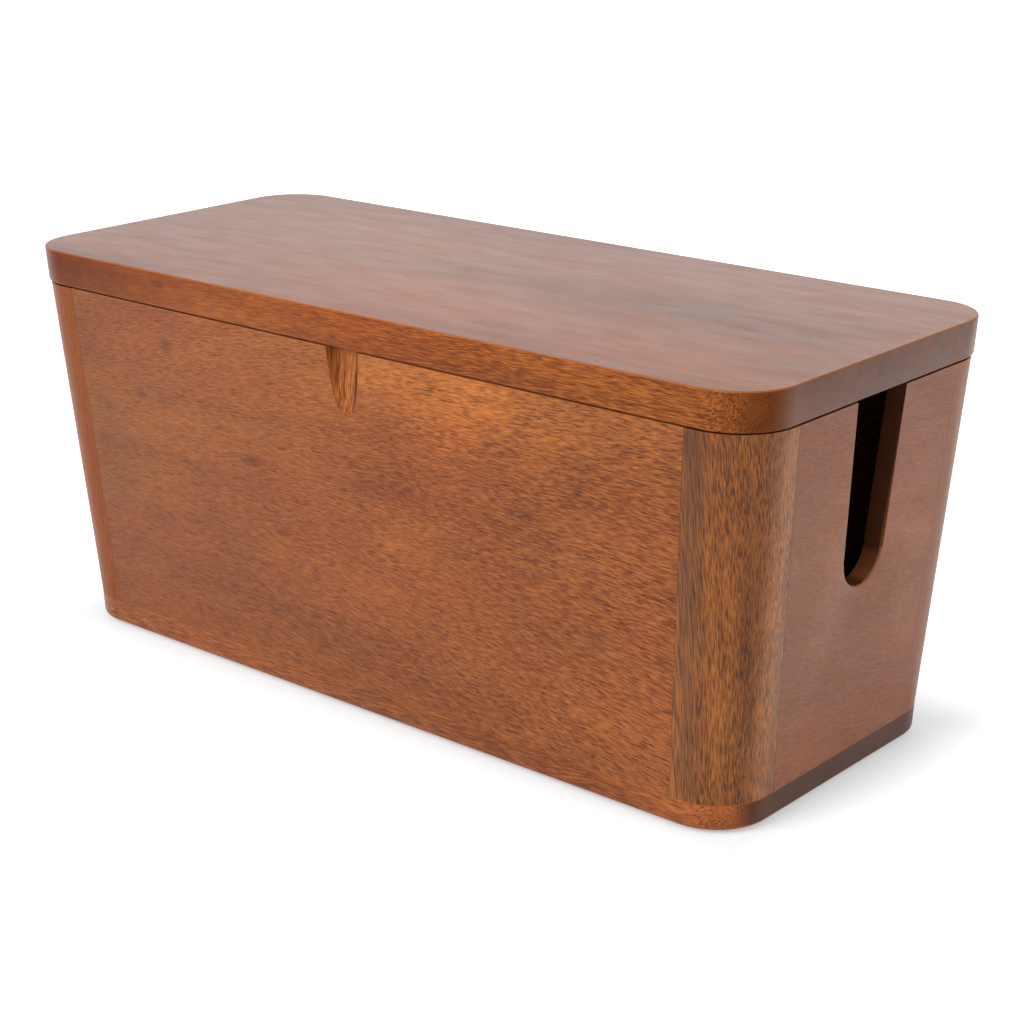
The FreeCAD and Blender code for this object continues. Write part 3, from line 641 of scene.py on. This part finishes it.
class CABLEBOX_OT_long_panels(bpy.types.Operator):
    """Builds the front panel with its thumb scoop, and the back panel"""
    bl_idname = "cable_box.long_panels"
    bl_label = "Long panels"

    scoop_steps = 20
    steps_below, steps_above = 1, 5
    scoop_segments = 96
    scoop_bluntness = 0.7

    def scoop_cutter(self, material):
        """A round cutter that runs in quickly at its lower end and then more gently up to the top."""
        s = sizes()
        mesh = bmesh.new()
        rings = []
        for step in range(-self.steps_below, self.scoop_steps + self.steps_above + 1):
            share = step / self.scoop_steps
            height = wall_top() - s.scoop_height + share * s.scoop_height
            depth = s.scoop_depth * math.copysign(abs(share) ** self.scoop_bluntness, share)
            middle = Matrix.Translation((0, depth - half_width(height) - s.scoop_radius, height))
            ring = bmesh.ops.create_circle(
                mesh, segments=self.scoop_segments, radius=s.scoop_radius, matrix=middle
            )["verts"]
            rings.append([edge for edge in mesh.edges if edge.verts[0] in ring and edge.verts[1] in ring])
        for lower, upper in zip(rings, rings[1:]):
            bmesh.ops.bridge_loops(mesh, edges=lower + upper)
        bmesh.ops.holes_fill(mesh, edges=rings[0] + rings[-1])
        bmesh.ops.recalc_face_normals(mesh, faces=mesh.faces)
        data = bpy.data.meshes.new("scoop_cutter")
        mesh.to_mesh(data)
        mesh.free()
        data.materials.append(material)
        return bpy.data.objects.new("scoop_cutter", data)

    def cut_scoop(self, panel):
        """Cuts the scoop, whose grain shows cut across, as its own stained wood."""
        c = colours()
        cutter = self.scoop_cutter(stained_wood(
            "Scoop wood", "z", (0.4, 1.3, 2.1), c.light_wood, c.dark_wood,
            tilt=0.0, waviness=0.004, stretch=2.6, clouds=0.4, bands=0.9, end_grain=1.0, strength=1.22,
            worn_highlight=0.0, level=0.12, gloss=0.0, end_gloss=0.0, patches=SCOOP_SHADE,
        ))
        bpy.context.scene.collection.objects.link(cutter)
        cut = panel.modifiers.new("Thumb scoop", "BOOLEAN")
        cut.operation = "DIFFERENCE"
        cut.solver = "EXACT"
        cut.material_mode = "TRANSFER"
        cut.object = cutter
        panel.modifiers.move(len(panel.modifiers) - 1, 0)
        bpy.context.view_layer.objects.active = panel
        bpy.ops.object.modifier_apply(modifier=cut.name)
        bpy.data.objects.remove(cutter)

    def outline(self, inner, outer):
        """Corners at an inner and an outer height, which differ where the top is cut square."""
        inside = half_width(inner) - sizes().wall_thickness
        return [
            (-long_seam(inner), inside, inner), (long_seam(inner), inside, inner),
            (long_seam(outer), half_width(outer), outer), (-long_seam(outer), half_width(outer), outer),
        ]

    def execute(self, context):
        s = sizes()
        c = colours()
        low, high = base_top(), wall_top()
        for name, face in FACES.items():
            mesh = standing_board(
                mirrored(self.outline(low, low), 1, face),
                mirrored(self.outline(high, high - s.lid_hairline), 1, face),
            )
            seed = (1.7, 0.4, 0.93) if name == "front" else (5.1, 2.2, 0.35)
            wood = stained_wood(
                f"{name.title()} panel wood", "x", seed, c.light_wood, c.dark_wood,
                tilt=0.09, waviness=0.006, bow=0.2, fan=1.3, stretch=0.9, fineness=1.4,
                clouds=0.55, bands=0.25, streaks=0.3, contrast=1.35, pores=0.9, sparse=0.03,
                fade=0.5, strength=0.90, worn_highlight=0.9, inside=0.5, level=0.4,
                patches=FRONT_KNOTS + FRONT_TONES_AND_LIGHT if name == "front" else (),
            )
            panel = finish_piece(
                mesh, f"{name}_panel_board", wood, "box_body", f"{name}_panel", s.eased_edge
            )
            if name == "front":
                self.cut_scoop(panel)
        return {"FINISHED"}


class CABLEBOX_OT_end_panels(bpy.types.Operator):
    """Builds the two end panels with their cable slots"""
    bl_idname = "cable_box.end_panels"
    bl_label = "End panels"

    nearly_whole = 0.999  # keeps the two rounded corners of the slot's foot apart

    def outline(self, mesh):
        """The end panel's face in the plane across the box, slot and all."""
        s = sizes()
        low, high = base_top(), wall_top()
        mouth, bottom = s.slot_mouth_width / 2, high - s.slot_depth
        draw_in = (mouth - s.slot_radius) / (s.slot_depth - s.slot_radius)
        foot = mouth - draw_in * s.slot_depth
        corners = [
            (end_seam(low), low), (end_seam(high), high), (mouth, high), (foot, bottom),
            (-foot, bottom), (-mouth, high), (-end_seam(high), high), (-end_seam(low), low),
        ]
        face = mesh.faces.new([mesh.verts.new((0, y, z)) for y, z in corners])
        at_foot = [vertex for vertex in face.verts if abs(vertex.co.z - bottom) < SAME]
        bmesh.ops.bevel(
            mesh, geom=at_foot, offset=foot * self.nearly_whole, offset_type="OFFSET", affect="VERTICES",
            segments=ARC_STEPS, profile=0.5, material=-1,
        )
        return mesh.faces[:]

    def outer_rim(self, mesh, outer):
        """The edges of the slot that lie in the outer face."""
        s = sizes()
        mouth, bottom = s.slot_mouth_width / 2, wall_top() - s.slot_depth
        top = wall_top() - s.lid_hairline
        rim = []
        for edge in mesh.edges:
            middle = (edge.verts[0].co + edge.verts[1].co) / 2
            across = abs(edge.verts[0].co.x - edge.verts[1].co.x) > s.wall_thickness / 2
            in_slot = abs(middle.y) < mouth - SAME and bottom - SAME < middle.z < top - SAME
            if in_slot and not across and edge.verts[0] in outer:
                rim.append(edge)
        return rim

    def execute(self, context):
        s = sizes()
        c = colours()
        for name, side in SIDES.items():
            mesh = bmesh.new()
            faces = self.outline(mesh)
            raised = bmesh.ops.extrude_face_region(mesh, geom=faces)
            outer = {item for item in raised["geom"] if isinstance(item, bmesh.types.BMVert)}
            for vertex in mesh.verts:
                if vertex in outer and vertex.co.z > wall_top() - SAME:
                    vertex.co.z -= s.lid_hairline
                depth = 0 if vertex in outer else s.wall_thickness
                vertex.co.x = side * (half_length(vertex.co.z) - depth)
            mesh.normal_update()
            round_edges(mesh, self.outer_rim(mesh, outer), s.slot_rim, steps=5)
            wood = stained_wood(
                f"{name.title()} end wood", "y", (2.6 + side, 0.9, 1.4), c.light_wood, c.dark_wood,
                tilt=-0.16, waviness=0.03, fineness=1.5,
                clouds=0.45, bands=0.2, streaks=0.12, contrast=0.62, pores=0.25, marks=0.1,
                end_grain=0.5, top_shade=0.4, strength=0.88, worn_highlight=0.2, inside=0.45,
                gloss=0.65, top_gloss=0.1, end_gloss=0.42, patches=moved_patches(RIGHT_END_PATCHES, side),
            )
            finish_piece(
                mesh, f"{name}_end_board", wood, "box_body", f"{name}_end_panel", s.eased_edge
            )
        return {"FINISHED"}


class CABLEBOX_OT_posts(bpy.types.Operator):
    """Builds the four quarter round corner posts"""
    bl_idname = "cable_box.posts"
    bl_label = "Corner posts"

    golden = {
        "colours": ("golden_wood", "smoky_wood"),
        "figure": {
            "bands": 0.65, "contrast": 1.2, "pores": 0.36, "level": PLAIN_LEVEL, "end_gloss": 0.6,
            "strength": 0.97,
        },
    }
    plain = {
        "colours": ("light_wood", "dark_wood"),
        "figure": {
            "bands": 0.2, "contrast": 0.5, "pores": 0.2, "level": 0.12, "end_gloss": 0.36,
            "strength": 0.86,
        },
    }

    def outline(self, inner, outer):
        """Corners at an inner and an outer height, which differ where the top is cut square."""
        s = sizes()
        slope = (s.post_end_width - s.wall_thickness) / (s.post_top_width - s.wall_thickness)
        off_seam = long_seam(inner) - half_length(inner) + s.post_top_width
        return [
            (half_length(outer), end_seam(outer), outer), (half_length(outer), half_width(outer), outer),
            (long_seam(outer), half_width(outer), outer),
            (long_seam(inner), half_width(inner) - s.wall_thickness - slope * off_seam, inner),
            (half_length(inner) - s.wall_thickness, end_seam(inner), inner),
        ]

    def execute(self, context):
        s = sizes()
        c = colours()
        low, high = base_top(), wall_top() - s.lid_hairline
        number = 0
        for side_name, side in SIDES.items():
            for face_name, face in FACES.items():
                number += 1
                node = f"post_{face_name}_{side_name}"
                mesh = standing_board(
                    mirrored(self.outline(low, low), side, face),
                    mirrored(self.outline(wall_top(), high), side, face),
                )
                corner = Vector((side * half_length(high), face * half_width(high), high))
                outer = [
                    edge for edge in mesh.edges
                    if any((vertex.co - corner).length < SAME for vertex in edge.verts)
                    and rise_of(edge) > s.wall_height / 2
                ]
                round_edges(mesh, outer, s.post_corner_radius, ARC_STEPS)
                finish = self.golden if node == "post_front_right" else self.plain
                light, dark = finish["colours"]
                wood = stained_wood(
                    f"Post wood {number}", "z", (0.7 * number, 1.9 * number, 0.6 * number),
                    getattr(c, light), getattr(c, dark),
                    tilt=0.045 * side, waviness=0.005, dip=0.5, stretch=3.8, fineness=1.65,
                    clouds=0.2, streaks=0.1, sparse=0.02, marks=0.1, end_grain=0.6, worn_highlight=0.2, inside=0.45,
                    patches=moved_patches(POST_TONES_AND_LIGHT.get(node, ()), side, face), **finish["figure"],
                )
                finish_piece(mesh, f"{node}_board", wood, "box_body", node, s.eased_edge)
        return {"FINISHED"}


class CABLEBOX_OT_base(bpy.types.Operator):
    """Builds the base board"""
    bl_idname = "cable_box.base"
    bl_label = "Base board"

    def execute(self, context):
        s = sizes()
        c = colours()
        low, high = s.pad_height, base_top()
        mesh = slab(half_length(high), half_width(high), low, high, s.post_corner_radius, s.base_undercut)
        round_edges(mesh, level_edges(mesh, high), s.eased_edge, steps=3)
        round_edges(mesh, level_edges(mesh, low), s.base_edge, steps=6)
        wood = stained_wood(
            "Base wood", "x", (3.3, 1.1, 0.2), c.light_wood, c.dark_wood,
            tilt=0.01, waviness=0.012, fineness=1.2, streaks=0.4, contrast=1.2, pores=0.5,
            end_grain=0.28, end_from=0.78, strength=0.94, gloss=0.2, end_gloss=0.36, patches=BASE_PATCHES,
        )
        finish_piece(mesh, "base_bottom_board", wood, "box_body", "base_board")
        return {"FINISHED"}


class CABLEBOX_OT_fittings(bpy.types.Operator):
    """Finishes the rails, splines, dowels, screws and pads"""
    bl_idname = "cable_box.fittings"
    bl_label = "Fittings"

    def execute(self, context):
        c = colours()
        rail = stained_wood(
            "Rail wood", "x", (0.9, 3.1, 1.5), c.light_wood, c.dark_wood, tilt=0.0, waviness=0.006,
            roughness=(0.5, 0.62),
        )
        beech = stained_wood(
            "Bare beech", "z", (1.2, 0.8, 4.0), c.pale_wood, [value * 0.8 for value in c.pale_wood],
            tilt=0.0, waviness=0.004, pores=0.25, marks=0.0, end_grain=0.8, roughness=(0.6, 0.72),
        )
        finishes = {
            "lid_rail": rail,
            "spline": beech,
            "base_dowels": beech,
            "base_screws": speckled("Plated steel", c.steel, 0.12, 0.34, metallic=1.0, cells=2500.0),
            "foot_pad": speckled("Pad rubber", c.rubber, 0.3, 0.72),
        }
        for name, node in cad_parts.items():
            for start, finish in finishes.items():
                if name.startswith(start):
                    node.data.materials.clear()
                    node.data.materials.append(finish)
        return {"FINISHED"}


# Studio

# The photograph's view, fitted to the outlines of the lid, the walls and the base
CAMERA = {
    "turn": math.radians(40.5838),
    "rise": math.radians(18.8331),
    "roll": math.radians(-0.2026),
    "distance": 0.9561743,
    "aim": (0.0175542, 0, 0.0756315),
    "lens": 77.667,
}
FLOOR_REACH = 6  # metres each way from the middle
NEAR_FLOOR_GLOW, FAR_FLOOR_GLOW = 0.35, 1.0
SHADOW_REACH = 66 * MM
ROOM_LIGHT = 0.42


def place_camera():
    turn, rise, roll = CAMERA["turn"], CAMERA["rise"], CAMERA["roll"]
    back = Vector((math.sin(turn) * math.cos(rise), -math.cos(turn) * math.cos(rise), math.sin(rise)))
    level = Vector((math.cos(turn), math.sin(turn), 0))
    upward = back.cross(level)
    right = level * math.cos(roll) + upward * math.sin(roll)
    up = upward * math.cos(roll) - level * math.sin(roll)
    data = bpy.data.cameras.new("Camera")
    data.sensor_width = 36
    data.lens = CAMERA["lens"]
    data.clip_start = 0.01
    data.clip_end = 50
    camera = bpy.data.objects.new("Camera", data)
    bpy.context.scene.collection.objects.link(camera)
    camera.matrix_world = Matrix.Translation(Vector(CAMERA["aim"]) + back * CAMERA["distance"]) @ Matrix((
        (right.x, up.x, back.x, 0), (right.y, up.y, back.y, 0), (right.z, up.z, back.z, 0), (0, 0, 0, 1),
    ))
    bpy.context.scene.camera = camera


def soft_light(name, place, aim, width, height, power):
    data = bpy.data.lights.new(name, "AREA")
    data.shape = "RECTANGLE"
    data.size = width
    data.size_y = height
    data.energy = power
    light = bpy.data.objects.new(name, data)
    bpy.context.scene.collection.objects.link(light)
    light.location = place
    light.rotation_euler = (Vector(aim) - Vector(place)).to_track_quat("-Z", "Y").to_euler()


def seen_share(tree):
    """One for rays that look straight at the studio, or by way of a shiny or clear surface."""
    path = add_node(tree, "ShaderNodeLightPath").outputs
    seen = arithmetic(tree, "MAXIMUM", path["Is Camera Ray"], path["Is Glossy Ray"])
    return arithmetic(tree, "MAXIMUM", seen, path["Is Transmission Ray"])


class CABLEBOX_OT_stage(bpy.types.Operator):
    """Sets up the floor, the lights and the camera"""
    bl_idname = "cable_box.stage"
    bl_label = "Studio"

    def floor(self):
        """A matt floor that glows white to the camera, and less near the box, where its shadow lies."""
        mesh = bmesh.new()
        bmesh.ops.create_grid(mesh, x_segments=1, y_segments=1, size=FLOOR_REACH)
        data = bpy.data.meshes.new("studio_floor")
        mesh.to_mesh(data)
        mesh.free()
        material = bpy.data.materials.new("Studio floor")
        material.use_nodes = True
        tree = material.node_tree
        shader = tree.nodes["Principled BSDF"]
        shader.inputs["Base Color"].default_value = opaque(colours().floor)
        shader.inputs["Roughness"].default_value = 0.9
        shader.inputs["Specular IOR Level"].default_value = 0.0
        shader.inputs["Emission Color"].default_value = (1, 1, 1, 1)
        foot = (half_length(base_top()), half_width(base_top()), 0)
        beyond = vector_maths(tree, "ABSOLUTE", object_place(tree))
        beyond = vector_maths(tree, "SUBTRACT", beyond, foot)
        away = measure(tree, "LENGTH", vector_maths(tree, "MAXIMUM", beyond))
        glow = remap(tree, away, 0.0, SHADOW_REACH, NEAR_FLOOR_GLOW, FAR_FLOOR_GLOW)
        glow = arithmetic(tree, "MULTIPLY", glow, seen_share(tree))
        tree.links.new(glow, shader.inputs["Emission Strength"])
        data.materials.append(material)
        floor = bpy.data.objects.new("studio_floor", data)
        bpy.context.scene.collection.objects.link(floor)

    def world(self):
        """A white room that lights the box more softly than it shows."""
        world = bpy.data.worlds.new("Studio")
        bpy.context.scene.world = world
        world.use_nodes = True
        tree = world.node_tree
        background = tree.nodes["Background"]
        background.inputs["Color"].default_value = (1, 1, 1, 1)
        strength = remap(tree, seen_share(tree), 0.0, 1.0, ROOM_LIGHT, 1.0)
        tree.links.new(strength, background.inputs["Strength"])

    def execute(self, context):
        self.floor()
        self.world()
        soft_light("Key", place=(-0.7, -2.4, 1.5), aim=(0, 0, 0.08), width=1.8, height=1.8, power=49)
        soft_light("Back", place=(-1.2, 1.5, 1.15), aim=(0, 0, 0.1), width=2.0, height=1.2, power=5)
        soft_light("Side", place=(1.5, -0.3, 0.8), aim=(0, 0, 0.08), width=1.0, height=1.0, power=5)
        place_camera()
        context.scene.view_settings.view_transform = "Standard"
        return {"FINISHED"}


class CABLEBOX_PT_panel(bpy.types.Panel):
    """Lists the sizes, the colours and the building steps"""
    bl_idname = "CABLEBOX_PT_panel"
    bl_label = "Cable box"
    bl_space_type = "VIEW_3D"
    bl_region_type = "UI"
    bl_category = "Cable box"

    def draw(self, context):
        layout = self.layout
        for step in STEPS:
            layout.operator(step.bl_idname)
        for group in (context.scene.cable_box_sizes, context.scene.cable_box_colours):
            column = layout.column(align=True)
            for name in group.__annotations__:
                column.prop(group, name)


STEPS = (
    CABLEBOX_OT_lid, CABLEBOX_OT_long_panels, CABLEBOX_OT_end_panels, CABLEBOX_OT_posts,
    CABLEBOX_OT_base, CABLEBOX_OT_fittings, CABLEBOX_OT_stage,
)
CLASSES = (BoxSizes, BoxColours, *STEPS, CABLEBOX_PT_panel)


def register():
    for item in CLASSES:
        bpy.utils.register_class(item)
    bpy.types.Scene.cable_box_sizes = PointerProperty(type=BoxSizes)
    bpy.types.Scene.cable_box_colours = PointerProperty(type=BoxColours)


def unregister():
    del bpy.types.Scene.cable_box_colours
    del bpy.types.Scene.cable_box_sizes
    for item in reversed(CLASSES):
        bpy.utils.unregister_class(item)


def main():
    register()
    for step in STEPS:
        group, name = step.bl_idname.split(".")
        getattr(getattr(bpy.ops, group), name)()


if __name__ == "__main__":
    main()
